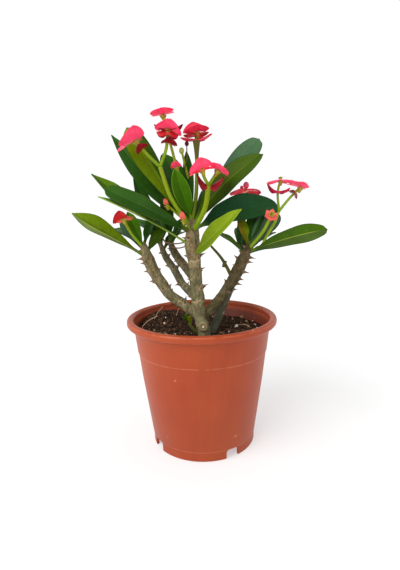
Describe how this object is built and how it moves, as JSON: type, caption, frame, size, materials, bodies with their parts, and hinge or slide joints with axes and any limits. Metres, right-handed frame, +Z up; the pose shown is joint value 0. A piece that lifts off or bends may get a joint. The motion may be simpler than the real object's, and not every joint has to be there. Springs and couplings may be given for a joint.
{
  "type": "potted euphorbia",
  "caption": "Flowering crown-of-thorns euphorbia in a round tapered plastic nursery pot: thorny branched stems, leafy crowns and stalked pairs of pink and crimson bracts.",
  "frame": {"origin": "centre of the pot's foot, on the surface the pot stands on", "axes": "+Z up along the pot's axis, -Y towards the front, where the blooms lean, +X to the right as seen from the front"},
  "size_m": [0.1905, 0.12, 0.2619],
  "materials": {
    "pot_plastic": "satin",
    "potting_mix": "matte",
    "bark": "matte",
    "leaf_green": "satin",
    "bract_pink": "matte",
    "bract_crimson": "matte",
    "bract_coral": "matte"
  },
  "bodies": {
    "root": {"pot": "pot_plastic", "soil": "potting_mix", "stems": "bark", "shoot_centre": "leaf_green", "shoot_left": "leaf_green", "shoot_backLeft": "leaf_green", "shoot_backMiddle": "leaf_green", "shoot_right": "leaf_green", "shoot_backRight": "leaf_green", "bracts_tall_left": "bract_pink", "bracts_tall_left_lower": "bract_crimson", "bracts_tall_right": "bract_pink", "bracts_tall_right_lower": "bract_crimson", "bracts_top": "bract_pink", "bracts_upright": "bract_pink", "bracts_upright_lower": "bract_crimson", "bracts_front_left": "bract_pink", "bracts_front_right": "bract_pink", "bracts_front_lower": "bract_crimson", "bracts_side": "bract_pink", "bracts_low": "bract_coral", "bracts_low_left": "bract_coral", "bracts_right_back": "bract_pink", "bracts_arch_left": "bract_pink", "bracts_arch_left_lower": "bract_crimson", "bracts_arch_right": "bract_pink", "bracts_arch_right_lower": "bract_crimson", "bracts_star": "bract_coral", "bracts_left_low": "bract_coral"}
  },
  "joints": []
}
